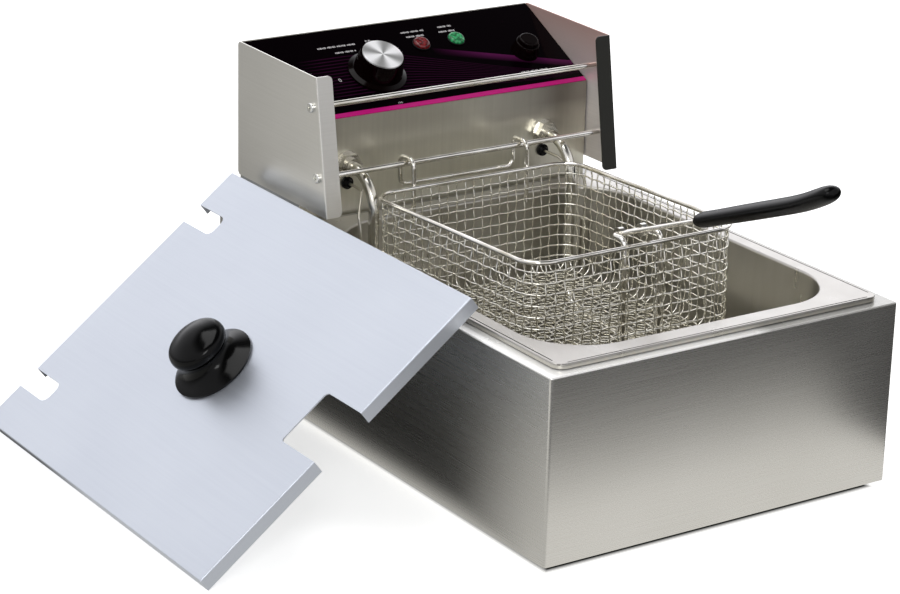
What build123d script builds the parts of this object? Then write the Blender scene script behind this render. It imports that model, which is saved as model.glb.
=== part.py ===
from build123d import *
import math
import os

# Counter-top electric deep fryer: a sheet-steel casing with a drop-in oil pan, a lift-off control head
# that carries the heating element, a wire basket hung from the head, a folding basket handle and a
# loose lid that leans on the casing's left side.
# Working frame in mm: x = 0 on the centreline, y = 0 on the casing's front, z = 0 on the table.
# At the end every piece is shifted so that the origin is the bottom centre of the whole object's box.

# ---- driving dimensions -----------------------------------------------------------------------------
SHEET = 1.0                      # steel sheet thickness
GAP = 0.3                        # clearance between pieces that move apart
FOOT_H = 6.0
CASE_W, CASE_D, CASE_H = 285.0, 420.0, 129.0
CASE_TOP = FOOT_H + CASE_H
CASE_LIP = 18.0                  # inward ledge that carries the pan's rim
PAN_RIM_W, PAN_RIM_FRONT, PAN_RIM_BACK = 265.0, 7.4, 332.4
PAN_RIM_H = 4.2
PAN_OPEN_W, PAN_OPEN_FRONT, PAN_OPEN_BACK, PAN_OPEN_R = 238.6, 24.4, 314.0, 47.0
PAN_DEPTH = 103.5
PAN_TOP = CASE_TOP + PAN_RIM_H

HEAD_FRONT, HEAD_BACK = 335.0, 420.0
HEAD_HALF = 124.5                # half width of the folded head cover
HEAD_Z = CASE_TOP + GAP
PANEL_Z = 210.2                  # height of the bend between head front and control panel
PANEL_TOP_Y, PANEL_TOP_Z = 418.5, 251.8
SIDE_HALF = 126.5                # outer faces of the two side plates
SIDE_BOTTOM, SIDE_TOP_BACK, SIDE_TOP_FRONT = 152.0, 252.0, 250.5
SIDE_FRONT_LOW_Y, SIDE_FRONT_TOP_Y = 295.0, 311.0
SIDE_FLANGE = 13.0

UPPER_ROD_YZ, LOWER_ROD_YZ, ROD_R = (316.0, 228.0), (307.0, 179.0), 2.1
TUBE_X, TUBE_Z, TUBE_R, TUBE_DROP_Y = 85.8, 176.5, 4.0, 297.5
ELEMENT_Z = 50.0
CAPILLARY_X, CAPILLARY_Z = 85.5, 162.1
BULB_X, BULB_Y, BULB_TOP, BULB_BOTTOM = 98.0, 295.0, 118.0, 66.0
BACK_SCREWS = [(side * 114.0, z) for side in (-1, 1) for z in (147.0, 240.0)]
GLAND_X, GLAND_Z, GLAND_BORE = 88.0, 158.0, 3.6

KNOB_X, KNOB_S = -39.2, 39.8     # s is the distance up the sloping panel
KNOB_R, KNOB_H, KNOB_CAP_R = 22.0, 19.0, 15.3
SHAFT_R = 3.0
RED_X, GREEN_X, LAMP_S, LAMP_R = 12.8, 43.6, 63.3, 6.9
RESET_X, RESET_S, RESET_R, RESET_TRAVEL = 91.6, 39.5, 7.4, 3.0
FILM, STRIPE = 0.5, 4.2          # thickness of the panel's film and width of its magenta edge

# the basket is drawn level and centred, then tipped about the lower rod and moved sideways
BASKET_X, BASKET_TIP = -3.0, 1.9
BASKET_HALF, BASKET_FRONT, BASKET_BACK, BASKET_R = 86.5, 98.1, 295.5, 18.0   # rim centreline
RIM_Z, RIM_R, BASKET_BOTTOM, BASKET_WALL = 163.4, 1.6, 82.0, 1.6
HOOK_X, HOOK_R = 49.0, 1.6
BRACKET_X, BRACKET_HALF, BRACKET_R = 5.8, 15.0, 1.9
PIVOT_Y, PIVOT_Z = 114.7, 167.9
HANDLE_TILT = 19.7               # degrees up from the level of the rim
GRIP_START, GRIP_LENGTH = 78.0, 139.0
WIRE_R, WIRE_HALF_GAP = 1.7, 4.2
# cross-sections of the grip: place along it, width, height and rise above the handle's straight line
GRIP_SECTIONS = [(0.0, 12.4, 7.6, 0.0), (1.0, 14.0, 9.0, 0.0), (3.5, 15.2, 10.2, 0.0),
                 (12.0, 15.8, 10.8, 0.0), (45.0, 16.6, 11.2, 0.0), (85.0, 17.0, 11.4, 0.0),
                 (113.0, 17.4, 11.8, 0.8), (127.0, 17.2, 11.8, 2.3), (133.0, 15.8, 10.8, 3.0),
                 (136.8, 12.4, 8.4, 3.4), (138.5, 8.0, 5.4, 3.6), (GRIP_LENGTH, 4.0, 2.7, 3.7)]

LID_W, LID_D, LID_LIP = 250.0, 311.0, 10.0
LID_TILT = 37.55
LID_EDGE_X, LID_FRONT, LID_LIFT = -334.6, 90.0, 0.2
LID_SLOT_X, LID_SLOT_W, LID_SLOT_D = 83.0, 17.0, 38.0
LID_NOTCH_W, LID_NOTCH_D = 43.0, 41.0
LID_KNOB_X = 122.0


# ---- helpers ----------------------------------------------------------------------------------------
def block(x0, x1, y0, y1, z0, z1):
    """A box given by its lowest and highest corners."""
    centre = Pos((x0 + x1) / 2, (y0 + y1) / 2, (z0 + z1) / 2)
    return centre * Box(x1 - x0, y1 - y0, z1 - z0)


def rod(start, end, radius):
    """A round bar between two points."""
    line = Vector(*end) - Vector(*start)
    ends = Plane(origin=start, z_dir=line)
    return extrude(ends * Circle(radius), line.length)


def bent_rod(points, radii, radius):
    """A round bar along straight runs joined by tangent bends, one bend radius for each corner."""
    path = FilletPolyline(*points, radius=radii)
    return sweep(Plane(origin=path @ 0, z_dir=path % 0) * Circle(radius), path=path)


def slab(width, front, back, corner, z, height, taper=0.0):
    """An upright prism on a rounded rectangle centred on x = 0, which narrows downwards with taper."""
    outline = Pos(0, (front + back) / 2, z) * RectangleRounded(width, back - front, corner)
    return extrude(outline, -height, taper=taper)


def both_sides(shape):
    """The shape and its mirror image across the centreline."""
    return [shape, mirror(shape, about=Plane.YZ)]


def pan_head_screw(head_r, head_h, shank_r, shank_l):
    """A cross-recess screw whose head stands up from z = 0 and whose shank goes down."""
    head = Cylinder(head_r, head_h, align=(Align.CENTER, Align.CENTER, Align.MIN))
    head = fillet(head.edges().sort_by(Axis.Z)[-1], head_h * 0.45)
    for turn in (0, 90):
        head -= Pos(0, 0, head_h) * Rot(0, 0, turn) * Box(head_r * 1.2, head_r * 0.28, head_h * 0.9)
    return head + Cylinder(shank_r, shank_l, align=(Align.CENTER, Align.CENTER, Align.MAX))


def group(shapes):
    return Compound(children=list(shapes))


SLOPE = math.atan2(PANEL_TOP_Z - PANEL_Z, PANEL_TOP_Y - HEAD_FRONT)
PANEL = Plane(
    origin=(0, HEAD_FRONT, PANEL_Z), x_dir=(1, 0, 0), z_dir=(0, -math.sin(SLOPE), math.cos(SLOPE))
)
PANEL_LENGTH = math.hypot(PANEL_TOP_Y - HEAD_FRONT, PANEL_TOP_Z - PANEL_Z)
TILT = math.radians(LID_TILT)
LID = Plane(
    origin=(LID_EDGE_X, LID_FRONT, LID_LIFT),
    x_dir=(math.cos(TILT), 0, math.sin(TILT)),
    z_dir=(-math.sin(TILT), 0, math.cos(TILT)),
)
HANG = (
    Pos(BASKET_X, *LOWER_ROD_YZ) * Rot(-BASKET_TIP, 0, 0) * Pos(0, -LOWER_ROD_YZ[0], -LOWER_ROD_YZ[1])
)
LIFT = math.radians(HANDLE_TILT)
HANDLE = Plane(
    origin=(BRACKET_X, PIVOT_Y, PIVOT_Z),
    x_dir=(0, -math.cos(LIFT), math.sin(LIFT)),
    z_dir=(0, math.sin(LIFT), math.cos(LIFT)),
)


def on_panel(x, s, h=0.0):
    """A place on the control panel: x across, s up the slope, h out of the face."""
    return PANEL * Pos(x, s, h)


# ---- casing -----------------------------------------------------------------------------------------
def outer_casing():
    half = CASE_W / 2
    body = block(-half, half, 0, CASE_D, FOOT_H, CASE_TOP)
    body = fillet(body.edges().filter_by(Axis.Z), 2.0)
    body = fillet(body.faces().sort_by(Axis.Z)[-1].edges(), 1.2)
    inner = half - SHEET
    body -= block(-inner, inner, SHEET, CASE_D - SHEET, FOOT_H + SHEET, CASE_TOP - SHEET)
    flange = 14.0
    body -= block(-half + flange, half - flange, flange, CASE_D - flange, FOOT_H - 1, FOOT_H + 2)
    ledge_back = PAN_OPEN_BACK + 4
    body -= slab(CASE_W - 2 * CASE_LIP, CASE_LIP, ledge_back, 30.0, CASE_TOP + 1, 3.0)
    for cut in tongues(0.8):
        body -= cut
    return body


def tongues(clearance=0.0):
    """Two blades under the head that drop through slots in the casing's rear deck."""
    x, y, half_w, half_t = 60.0, 400.0, 10.0 + clearance, 0.75 + clearance
    blade = block(x - half_w, x + half_w, y - half_t, y + half_t, CASE_TOP - 12, HEAD_Z)
    return both_sides(blade)


FEET = [(side * (CASE_W / 2 - 26), y) for side in (-1, 1) for y in (26.0, CASE_D - 26.0)]


def rubber_foot(x, y):
    foot = Pos(x, y, FOOT_H) * Rot(180, 0, 0) * Cone(
        13.0, 11.0, FOOT_H, align=(Align.CENTER, Align.CENTER, Align.MIN)
    )
    foot = fillet(foot.edges().sort_by(Axis.Z)[0], 0.8)
    foot -= Pos(x, y, 1.5) * Cylinder(4.5, 3.2)
    foot -= Pos(x, y, FOOT_H / 2) * Cylinder(2.3, FOOT_H + 2)
    return foot


def foot_screw(x, y):
    return Pos(x, y, 3.1) * Rot(180, 0, 0) * pan_head_screw(3.8, 2.2, 1.9, 6.0)


def casing_base_plate():
    margin = SHEET + 0.5
    half = CASE_W / 2 - margin
    plate = block(-half, half, margin, CASE_D - margin, FOOT_H + SHEET, FOOT_H + 2 * SHEET)
    for x, y in FEET:
        plate -= Pos(x, y, FOOT_H + 1.5) * Cylinder(2.3, 4)
    for x in (-60.0, 0.0, 60.0):
        for y in (90.0, 150.0, 210.0):
            plate -= Pos(x, y, FOOT_H) * extrude(SlotOverall(30, 5), 3)
    return plate


def oil_pan():
    """The drop-in oil pan: a flat rim with a turned-down skirt round a deep rounded well."""
    taper = 3.0
    rim_corner = 8.0
    rim = slab(PAN_RIM_W, PAN_RIM_FRONT, PAN_RIM_BACK, rim_corner, PAN_TOP, PAN_RIM_H)
    rim = fillet(rim.faces().sort_by(Axis.Z)[-1].edges(), 0.9)
    under = SHEET
    rim -= slab(
        PAN_RIM_W - 2 * under, PAN_RIM_FRONT + under, PAN_RIM_BACK - under,
        rim_corner - under, PAN_TOP - under, PAN_RIM_H,
    )
    well = slab(
        PAN_OPEN_W + 2, PAN_OPEN_FRONT - 1, PAN_OPEN_BACK + 1, PAN_OPEN_R + 1, PAN_TOP, PAN_DEPTH + 1, taper
    )
    well = fillet(well.faces().sort_by(Axis.Z)[0].edges(), 13.0)
    hollow = slab(PAN_OPEN_W, PAN_OPEN_FRONT, PAN_OPEN_BACK, PAN_OPEN_R, PAN_TOP, PAN_DEPTH, taper)
    hollow = fillet(hollow.faces().sort_by(Axis.Z)[0].edges(), 12.0)
    # a thick collar with a rounded mouth gives the shape of the cut at the top of the well
    collar = slab(PAN_OPEN_W + 8, PAN_OPEN_FRONT - 4, PAN_OPEN_BACK + 4, PAN_OPEN_R + 4, PAN_TOP, 6.0)
    rounded = collar - hollow
    mouth = rounded.faces().filter_by(Axis.Z).sort_by(Axis.Z)[-1].inner_wires()[0].edges()
    pan = (rim + well) - (collar - fillet(mouth, 1.9)) - hollow
    # the skirt stops short of the ledge all round; four pads behind it carry the pan
    reach, relief = PAN_RIM_W / 2, 0.9
    pan -= slab(PAN_RIM_W + 2, PAN_RIM_FRONT - 1, PAN_RIM_BACK + 1, rim_corner, CASE_TOP + relief, 2 * relief) \
        - slab(PAN_OPEN_W + 6, PAN_OPEN_FRONT - 3, PAN_OPEN_BACK + 3, PAN_OPEN_R, CASE_TOP + 2, 6.0)
    for y in (70.0, 270.0):
        for pad in both_sides(block(reach - 6, reach - 3, y - 8, y + 8, CASE_TOP, PAN_TOP - SHEET / 2)):
            pan += pad
    # the pressed line just inboard of the rim's edge
    inset, width, depth = 2.4, 0.9, 0.6
    for side in (-1, 1):
        x = side * (reach - inset)
        pan -= block(x - width / 2, x + width / 2, PAN_RIM_FRONT + 9, PAN_RIM_BACK - 9,
                     PAN_TOP - depth, PAN_TOP + 1)
    for y in (PAN_RIM_FRONT + inset, PAN_RIM_BACK - inset):
        pan -= block(-reach + 9, reach - 9, y - width / 2, y + width / 2, PAN_TOP - depth, PAN_TOP + 1)
    return pan


# ---- head -------------------------------------------------------------------------------------------
def side_plate(side):
    """A side plate with an inward flange along its raked front edge."""
    def outline(shift):
        return [
            (HEAD_BACK, SIDE_BOTTOM), (HEAD_BACK, SIDE_TOP_BACK),
            (SIDE_FRONT_TOP_Y + shift, SIDE_TOP_FRONT), (SIDE_FRONT_LOW_Y + shift, SIDE_BOTTOM),
        ]

    face = make_face(Polyline(*outline(0), close=True))
    face = fillet(face.vertices().sort_by(Axis.X)[-2:], 3.0)
    outer = Plane.YZ.offset(side * SIDE_HALF)
    plate = extrude(outer * face, -side * SIDE_FLANGE)
    rake = (SIDE_FRONT_TOP_Y - SIDE_FRONT_LOW_Y) / (SIDE_TOP_FRONT - SIDE_BOTTOM)
    cut = make_face(Polyline(
        (SIDE_FRONT_LOW_Y + SHEET - rake * 20, SIDE_BOTTOM - 20),
        (SIDE_FRONT_TOP_Y + SHEET + rake * 20, SIDE_TOP_FRONT + 20),
        (HEAD_BACK + 20, SIDE_TOP_BACK + 20), (HEAD_BACK + 20, SIDE_BOTTOM - 20), close=True,
    ))
    plate -= extrude(Plane.YZ.offset(side * (SIDE_HALF - SHEET)) * cut, -side * SIDE_FLANGE)
    tips = [e for e in plate.edges().filter_by(GeomType.LINE)
            if abs(abs(e.center().X) - (SIDE_HALF - SIDE_FLANGE)) < 0.01 and e.length < 2.5]
    plate = fillet(tips, 3.5)
    bend = [e for e in plate.edges().filter_by(GeomType.LINE)
            if abs(abs(e.center().X) - SIDE_HALF) < 0.01 and e.length > 60
            and e.center().Y < SIDE_FRONT_TOP_Y + 2]
    plate = fillet(bend, 0.9)
    for y, z in (UPPER_ROD_YZ, LOWER_ROD_YZ):
        plate -= Pos(side * SIDE_HALF, y, z) * Rot(0, 90, 0) * Cylinder(1.4, 6)
    return plate


def side_screws():
    """The screws that hold the two cross rods between the side plates."""
    screw = pan_head_screw(3.6, 2.2, 1.2, 3.9)
    screws = [Pos(SIDE_HALF, y, z) * Rot(0, 90, 0) * screw for y, z in (UPPER_ROD_YZ, LOWER_ROD_YZ)]
    return group(s for one in screws for s in both_sides(one))


def head_cover():
    """One folded sheet: the upright front and the sloping top that carries the control panel."""
    s, c = math.sin(SLOPE), math.cos(SLOPE)
    inner_z = PANEL_Z - SHEET * (1 - s) / c
    profile = make_face(Polyline(
        (HEAD_FRONT, HEAD_Z), (HEAD_FRONT, PANEL_Z), (PANEL_TOP_Y, PANEL_TOP_Z),
        (PANEL_TOP_Y + SHEET * s, PANEL_TOP_Z - SHEET * c),
        (HEAD_FRONT + SHEET, inner_z), (HEAD_FRONT + SHEET, HEAD_Z), close=True,
    ))
    cover = extrude(Plane.YZ.offset(-HEAD_HALF) * profile, 2 * HEAD_HALF)
    for side in (-1, 1):
        cover -= Pos(side * TUBE_X, HEAD_FRONT, TUBE_Z) * Rot(90, 0, 0) * Cylinder(5.2, 6)
        cover -= Pos(side * CAPILLARY_X, HEAD_FRONT, CAPILLARY_Z) * Rot(90, 0, 0) * Cylinder(2.2, 6)
    return cover - panel_holes()


def panel_holes():
    holes = on_panel(KNOB_X, KNOB_S) * Cylinder(SHAFT_R + 0.6, 8)
    for x in (RED_X, GREEN_X):
        holes += on_panel(x, LAMP_S) * Cylinder(4.2, 8)
    return holes + on_panel(RESET_X, RESET_S) * Cylinder(RESET_R + GAP, 8)


def control_panel():
    film = PANEL * block(-HEAD_HALF, HEAD_HALF, STRIPE + 0.5, PANEL_LENGTH - 1.5, 0, FILM)
    return film - panel_holes()


def panel_stripe():
    return PANEL * block(-HEAD_HALF, HEAD_HALF, 0.5, STRIPE + 0.5, 0, FILM)


def head_tray():
    """The head's floor, with upturned sides inside the cover and the two locating blades."""
    half = HEAD_HALF - 0.1
    front, back = HEAD_FRONT + SHEET + 0.2, HEAD_BACK - SHEET - 0.2
    tray = block(-half, half, front, back, HEAD_Z, HEAD_Z + 40)
    tray -= block(-half + SHEET, half - SHEET, front - 1, back + 1, HEAD_Z + SHEET, HEAD_Z + 41)
    for blade in tongues():
        tray += blade
    return tray


def head_back_cover():
    cover = block(-HEAD_HALF, HEAD_HALF, HEAD_BACK - SHEET, HEAD_BACK, HEAD_Z, PANEL_TOP_Z - 1.6)
    for x, z in BACK_SCREWS:
        cover -= Pos(x, HEAD_BACK, z) * Rot(90, 0, 0) * Cylinder(1.7, 6)
    cover -= Pos(GLAND_X, HEAD_BACK, GLAND_Z) * Rot(90, 0, 0) * Cylinder(8.2, 6)
    for row in range(5):
        slot = Pos(-70, HEAD_BACK + 2, 172 + 9 * row) * Rot(90, 0, 0) * extrude(SlotOverall(60, 3.2), 5)
        cover -= slot
    return cover


def back_screws():
    screw = pan_head_screw(3.2, 1.9, 1.5, 6.0)
    return group(Pos(x, HEAD_BACK, z) * Rot(-90, 0, 0) * screw for x, z in BACK_SCREWS)


def cord_gland():
    """Bare cable inlet: a threaded bush with its locknut, with no cord in it."""
    bush = Pos(GLAND_X, HEAD_BACK, GLAND_Z) * Rot(-90, 0, 0)
    body = Cylinder(8.0, 7, align=(Align.CENTER, Align.CENTER, Align.MAX))
    flange = extrude(RegularPolygon(11.0, 6, major_radius=True), 4)
    nose = Pos(0, 0, 4) * Cone(9.0, 7.5, 8, align=(Align.CENTER, Align.CENTER, Align.MIN))
    gland = body + flange + fillet(nose.edges().sort_by(Axis.Z)[-1], 1.5)
    gland -= Cylinder(GLAND_BORE, 60)
    return bush * gland


def hang_rod(y, z):
    bar = rod((-SIDE_HALF + SHEET, y, z), (SIDE_HALF - SHEET, y, z), ROD_R)
    for side in (-1, 1):
        bar -= Pos(side * SIDE_HALF, y, z) * Rot(0, 90, 0) * Cylinder(1.4, 10)
    return bar


def heating_element():
    """One 8 mm sheathed tube: out of the head, down behind the basket and in a W over the pan's floor."""
    left, front, back, inner_x = -TUBE_X, 55.0, 230.0, 30.0
    start_y = HEAD_FRONT + 18
    half = [
        (left, start_y, TUBE_Z), (left, TUBE_DROP_Y, TUBE_Z), (left, TUBE_DROP_Y, ELEMENT_Z),
        (left, front, ELEMENT_Z), (-inner_x, front, ELEMENT_Z), (-inner_x, back, ELEMENT_Z),
    ]
    other = [(-x, y, z) for x, y, z in reversed(half)]
    side_bends = [28.0, 22.0, 26.0, 26.0, 26.0]
    return bent_rod(half + other, side_bends + side_bends[::-1], TUBE_R)


def gland_nuts():
    """Hexagon nut, washer and neck round each leg of the element where it leaves the head."""
    hex_nut = extrude(RegularPolygon(9.0, 6, major_radius=True), 6)
    washer = Cylinder(9.6, 1.4, align=(Align.CENTER, Align.CENTER, Align.MIN))
    neck = Cylinder(6.2, 11, align=(Align.CENTER, Align.CENTER, Align.MIN))
    stem = Cylinder(5.0, 10, align=(Align.CENTER, Align.CENTER, Align.MAX))
    nut = washer + Pos(0, 0, 1.4) * hex_nut + neck + stem - Cylinder(TUBE_R + 0.1, 60)
    placed = Pos(TUBE_X, HEAD_FRONT, TUBE_Z) * Rot(90, 0, 0) * nut
    return group(both_sides(placed))


def element_terminals():
    post = rod((TUBE_X, HEAD_FRONT + 18.1, TUBE_Z), (TUBE_X, HEAD_FRONT + 30, TUBE_Z), 1.6)
    bead = rod((TUBE_X, HEAD_FRONT + 18.1, TUBE_Z), (TUBE_X, HEAD_FRONT + 23, TUBE_Z), 3.6)
    return group(both_sides(post + bead))


def capillary_grommets():
    ring = Cylinder(4.6, 1.8, align=(Align.CENTER, Align.CENTER, Align.MIN))
    ring += Cylinder(2.1, 3.0, align=(Align.CENTER, Align.CENTER, Align.MAX))
    ring += Pos(0, 0, 1.8) * Cone(3.6, 2.4, 2.4, align=(Align.CENTER, Align.CENTER, Align.MIN))
    ring -= Cylinder(1.1, 20)
    placed = Pos(CAPILLARY_X, HEAD_FRONT, CAPILLARY_Z) * Rot(90, 0, 0) * ring
    return group(both_sides(placed))


def capillaries():
    """The thermostat's and the cut-out's capillaries, from the head down to their bulbs."""
    x = CAPILLARY_X
    pipe = bent_rod([
        (x, HEAD_FRONT + 12, CAPILLARY_Z), (x, 314.0, CAPILLARY_Z), (BULB_X, BULB_Y + 3, 149.0),
        (BULB_X, BULB_Y, 138.0), (BULB_X, BULB_Y, BULB_TOP + 0.1),
    ], [5.0, 5.0, 5.0], 1.0)
    return group(both_sides(pipe))


def sensor_bulbs():
    bulb = rod((BULB_X, BULB_Y, BULB_BOTTOM), (BULB_X, BULB_Y, BULB_TOP), 3.0)
    return group(both_sides(fillet(bulb.edges(), 1.2)))


def thermostat():
    top = -SHEET - 0.2
    body = on_panel(KNOB_X, KNOB_S) * block(-19, 19, -18, 18, top - 26, top - 8)
    neck = on_panel(KNOB_X, KNOB_S, top) * Cylinder(9, 9, align=(Align.CENTER, Align.CENTER, Align.MAX))
    return body + neck - on_panel(KNOB_X, KNOB_S) * Cylinder(SHAFT_R + GAP, 30)


def lamp(x):
    """A lamp with a low domed lens in front and a cylindrical body behind the panel."""
    lens_r = LAMP_R - 0.6
    lens = Cylinder(lens_r, 3.4, align=(Align.CENTER, Align.CENTER, Align.MIN))
    lens = fillet(lens.edges().sort_by(Axis.Z)[-1], 2.2)
    barrel = Cylinder(4.0, 24, align=(Align.CENTER, Align.CENTER, Align.MAX))
    return on_panel(x, LAMP_S, FILM) * (lens + barrel)


def lamp_bezels():
    ring = Cylinder(LAMP_R, 1.0, align=(Align.CENTER, Align.CENTER, Align.MIN))
    ring = fillet(ring.edges().sort_by(Axis.Z)[-1], 0.4)
    ring -= Cylinder(LAMP_R - 0.5, 20)
    return group(on_panel(x, LAMP_S, FILM) * ring for x in (RED_X, GREEN_X))


def reset_collar():
    """A conical collar that the reset button stands in."""
    ring = Cone(10.7, 8.8, 9.6, align=(Align.CENTER, Align.CENTER, Align.MIN))
    ring = fillet(ring.edges().sort_by(Axis.Z)[-1], 0.8)
    return on_panel(RESET_X, RESET_S, FILM) * (ring - Cylinder(RESET_R + GAP, 30))


def reset_button():
    button = Pos(0, 0, -1) * Cylinder(RESET_R, 14.6, align=(Align.CENTER, Align.CENTER, Align.MIN))
    button = fillet(button.edges().sort_by(Axis.Z)[-1], 1.4)
    return on_panel(RESET_X, RESET_S) * button


def cutout():
    top = -SHEET - RESET_TRAVEL - 1.5
    return on_panel(RESET_X, RESET_S) * block(-14, 14, -16, 16, top - 20, top)


def control_knob():
    """A thin round skirt under a tapering barrel, with a seat on top for the metal cap."""
    low, seat = FILM + 0.6, KNOB_H - 1.2
    outline = make_face(Polyline(
        (SHAFT_R + 0.1, low), (KNOB_R, low), (KNOB_R, low + 1.4), (KNOB_CAP_R + 3.4, low + 3.0),
        (KNOB_CAP_R + 1.0, seat), (SHAFT_R + 0.1, seat), close=True,
    ))
    knob = revolve(Plane.XZ * outline, Axis.Z)
    return on_panel(KNOB_X, KNOB_S) * fillet(knob.edges().sort_by(Axis.Z)[-2], 0.7)


def knob_cap():
    cap = Pos(0, 0, KNOB_H - 1.2) * Cylinder(KNOB_CAP_R, 1.2, align=(Align.CENTER, Align.CENTER, Align.MIN))
    cap = fillet(cap.edges().sort_by(Axis.Z)[-1], 0.5)
    return on_panel(KNOB_X, KNOB_S) * cap


def knob_shaft():
    shaft = Pos(0, 0, -11) * Cylinder(SHAFT_R, 11 + KNOB_H - 1.3, align=(Align.CENTER, Align.CENTER, Align.MIN))
    return on_panel(KNOB_X, KNOB_S) * shaft


def terminal_block():
    x, y, z = 20.0, 378.0, HEAD_Z + SHEET
    body = block(x - 25, x + 25, y - 11, y + 11, z, z + 18)
    for way in range(5):
        spot = x - 20 + 10 * way
        body -= Pos(spot, y, z + 18) * Cylinder(2.4, 8)
        body -= block(spot - 3, spot + 3, y - 12, y - 6, z + 4, z + 12)
    return body


def interlock_switch():
    """The switch that cuts the power when the head is lifted off the casing."""
    x, y, z = -64.0, 389.0, HEAD_Z + SHEET
    body = block(x - 14, x + 14, y - 5, y + 5, z, z + 16)
    return body + block(x - 12, x + 8, y - 2, y + 2, z + 15, z + 18)


# ---- basket -----------------------------------------------------------------------------------------
def basket_rim():
    path = Pos(0, (BASKET_FRONT + BASKET_BACK) / 2, RIM_Z) * RectangleRounded(
        2 * BASKET_HALF, BASKET_BACK - BASKET_FRONT, BASKET_R
    )
    wire = path.wire()
    return sweep(Plane(origin=wire @ 0, z_dir=wire % 0) * Circle(RIM_R), path=wire)


def basket_tub():
    """The woven tub as a thin closed wall: its true outer size, open at the top."""
    top = RIM_Z - RIM_R - 0.1
    outer = slab(2 * BASKET_HALF, BASKET_FRONT, BASKET_BACK, BASKET_R, top, top - BASKET_BOTTOM)
    outer = fillet(outer.faces().sort_by(Axis.Z)[0].edges(), 9.0)
    w = BASKET_WALL
    inner = slab(2 * (BASKET_HALF - w), BASKET_FRONT + w, BASKET_BACK - w, BASKET_R - w,
                 top, top - BASKET_BOTTOM - w)
    inner = fillet(inner.faces().sort_by(Axis.Z)[0].edges(), 9.0 - w)
    return outer - inner


def basket_hook():
    """One wire that rises behind the basket, hooks over the lower rod twice and crosses behind."""
    front, back = BASKET_BACK + RIM_R + HOOK_R + 0.1, 317.0
    low, cross = RIM_Z - 26, 161.0
    top = LOWER_ROD_YZ[1] + ROD_R + HOOK_R + GAP
    half = [(-HOOK_X, front, low), (-HOOK_X, front, top), (-HOOK_X, back, top), (-HOOK_X, back, cross)]
    other = [(-x, y, z) for x, y, z in reversed(half)]
    return bent_rod(half + other, [6.0, 6.0, 5.0, 5.0, 6.0, 6.0], HOOK_R)


def handle_bracket():
    """A wire hoop on the inside of the front wall; its cross bar is the handle's pivot."""
    y = BASKET_FRONT + RIM_R + BRACKET_R + 0.1
    left, right, low = BRACKET_X - BRACKET_HALF, BRACKET_X + BRACKET_HALF, 93.0
    return bent_rod([
        (left, y, low), (left, y, PIVOT_Z), (left, PIVOT_Y, PIVOT_Z),
        (right, PIVOT_Y, PIVOT_Z), (right, y, PIVOT_Z), (right, y, low),
    ], [5.0, 3.5, 3.5, 5.0], BRACKET_R)


def wire_run(side, start, end):
    """The straight stretch of one handle wire, between two places along the handle."""
    return [HANDLE.from_local_coords(Vector(along, side * WIRE_HALF_GAP, 0)) for along in (start, end)]


def handle_wires():
    """Two wires with eyes round the pivot bar that run close together into the grip."""
    eye_x, eye_w = 9.3, 4.0
    pieces = None
    for side in (-1, 1):
        eye = HANDLE * Pos(0, side * eye_x, 0) * Rot(90, 0, 0) * (
            Cylinder(BRACKET_R + GAP + 2.4, eye_w) - Cylinder(BRACKET_R + GAP, eye_w + 1)
        )
        root = HANDLE.from_local_coords(Vector(4.0, side * eye_x, 0))
        places = [tuple(p) for p in (root, *wire_run(side, GRIP_START - 28, GRIP_START + 24))]
        wire = bent_rod(places, [60.0], WIRE_R)
        pieces = eye + wire if pieces is None else pieces + eye + wire
    return pieces


def handle_grip():
    """A moulded grip, nearly straight, that lifts at its rounded end."""
    sections = [
        Plane(origin=HANDLE.from_local_coords(Vector(GRIP_START + along, 0, rise)),
              x_dir=(1, 0, 0), z_dir=HANDLE.x_dir) * Ellipse(width / 2, height / 2)
        for along, width, height, rise in GRIP_SECTIONS
    ]
    grip = loft(sections)
    for side in (-1, 1):
        start, end = wire_run(side, GRIP_START - 5, GRIP_START + 25)
        grip -= rod(tuple(start), tuple(end), WIRE_R + 0.1)
    return grip


# ---- lid --------------------------------------------------------------------------------------------
def lid_sheet():
    sheet = block(0, LID_W, 0, LID_D, 0, LID_LIP)
    sheet = fillet(sheet.faces().sort_by(Axis.Z)[-1].edges(), 0.9)
    t = SHEET
    sheet -= block(t, LID_W - t, t, LID_D - t, -1, LID_LIP - t)
    middle = LID_W / 2
    notch = block(middle - LID_NOTCH_W / 2, middle + LID_NOTCH_W / 2, -5, LID_NOTCH_D, -5, LID_LIP + 5)
    sheet -= fillet(notch.edges().filter_by(Axis.Z), 3.0)
    for side in (-1, 1):
        x = middle + side * LID_SLOT_X
        slot = block(x - LID_SLOT_W / 2, x + LID_SLOT_W / 2, LID_D - LID_SLOT_D, LID_D + 9, -5, LID_LIP + 5)
        sheet -= fillet(slot.edges().filter_by(Axis.Z), 5.5)
    sheet -= Pos(LID_KNOB_X, LID_D / 2, LID_LIP) * Cylinder(2.7, 8)
    return LID * sheet


def lid_knob():
    """A glossy mushroom knob: flared foot, waist and domed head."""
    outline = (
        Line((0, 0), (29.6, 0)) + Line((29.6, 0), (29.9, 1.5))
        + Spline((29.9, 1.5), (22.5, 5.6), (17.6, 10.0), (16.2, 14.0))
        + Spline((16.2, 14.0), (19.7, 16.6), (21.4, 20.6), tangents=[(0.9, 0.5), (0, 1)])
        + Spline((21.4, 20.6), (15.13, 27.95), (0, 31.0), tangents=[(0, 1), (-1, 0)])
        + Line((0, 31.0), (0, 0))
    )
    knob = revolve(Plane.XZ * make_face(outline), Axis.Z)
    knob -= Cylinder(2.0, 24)
    return LID * Pos(LID_KNOB_X, LID_D / 2, LID_LIP + 0.05) * knob


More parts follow.
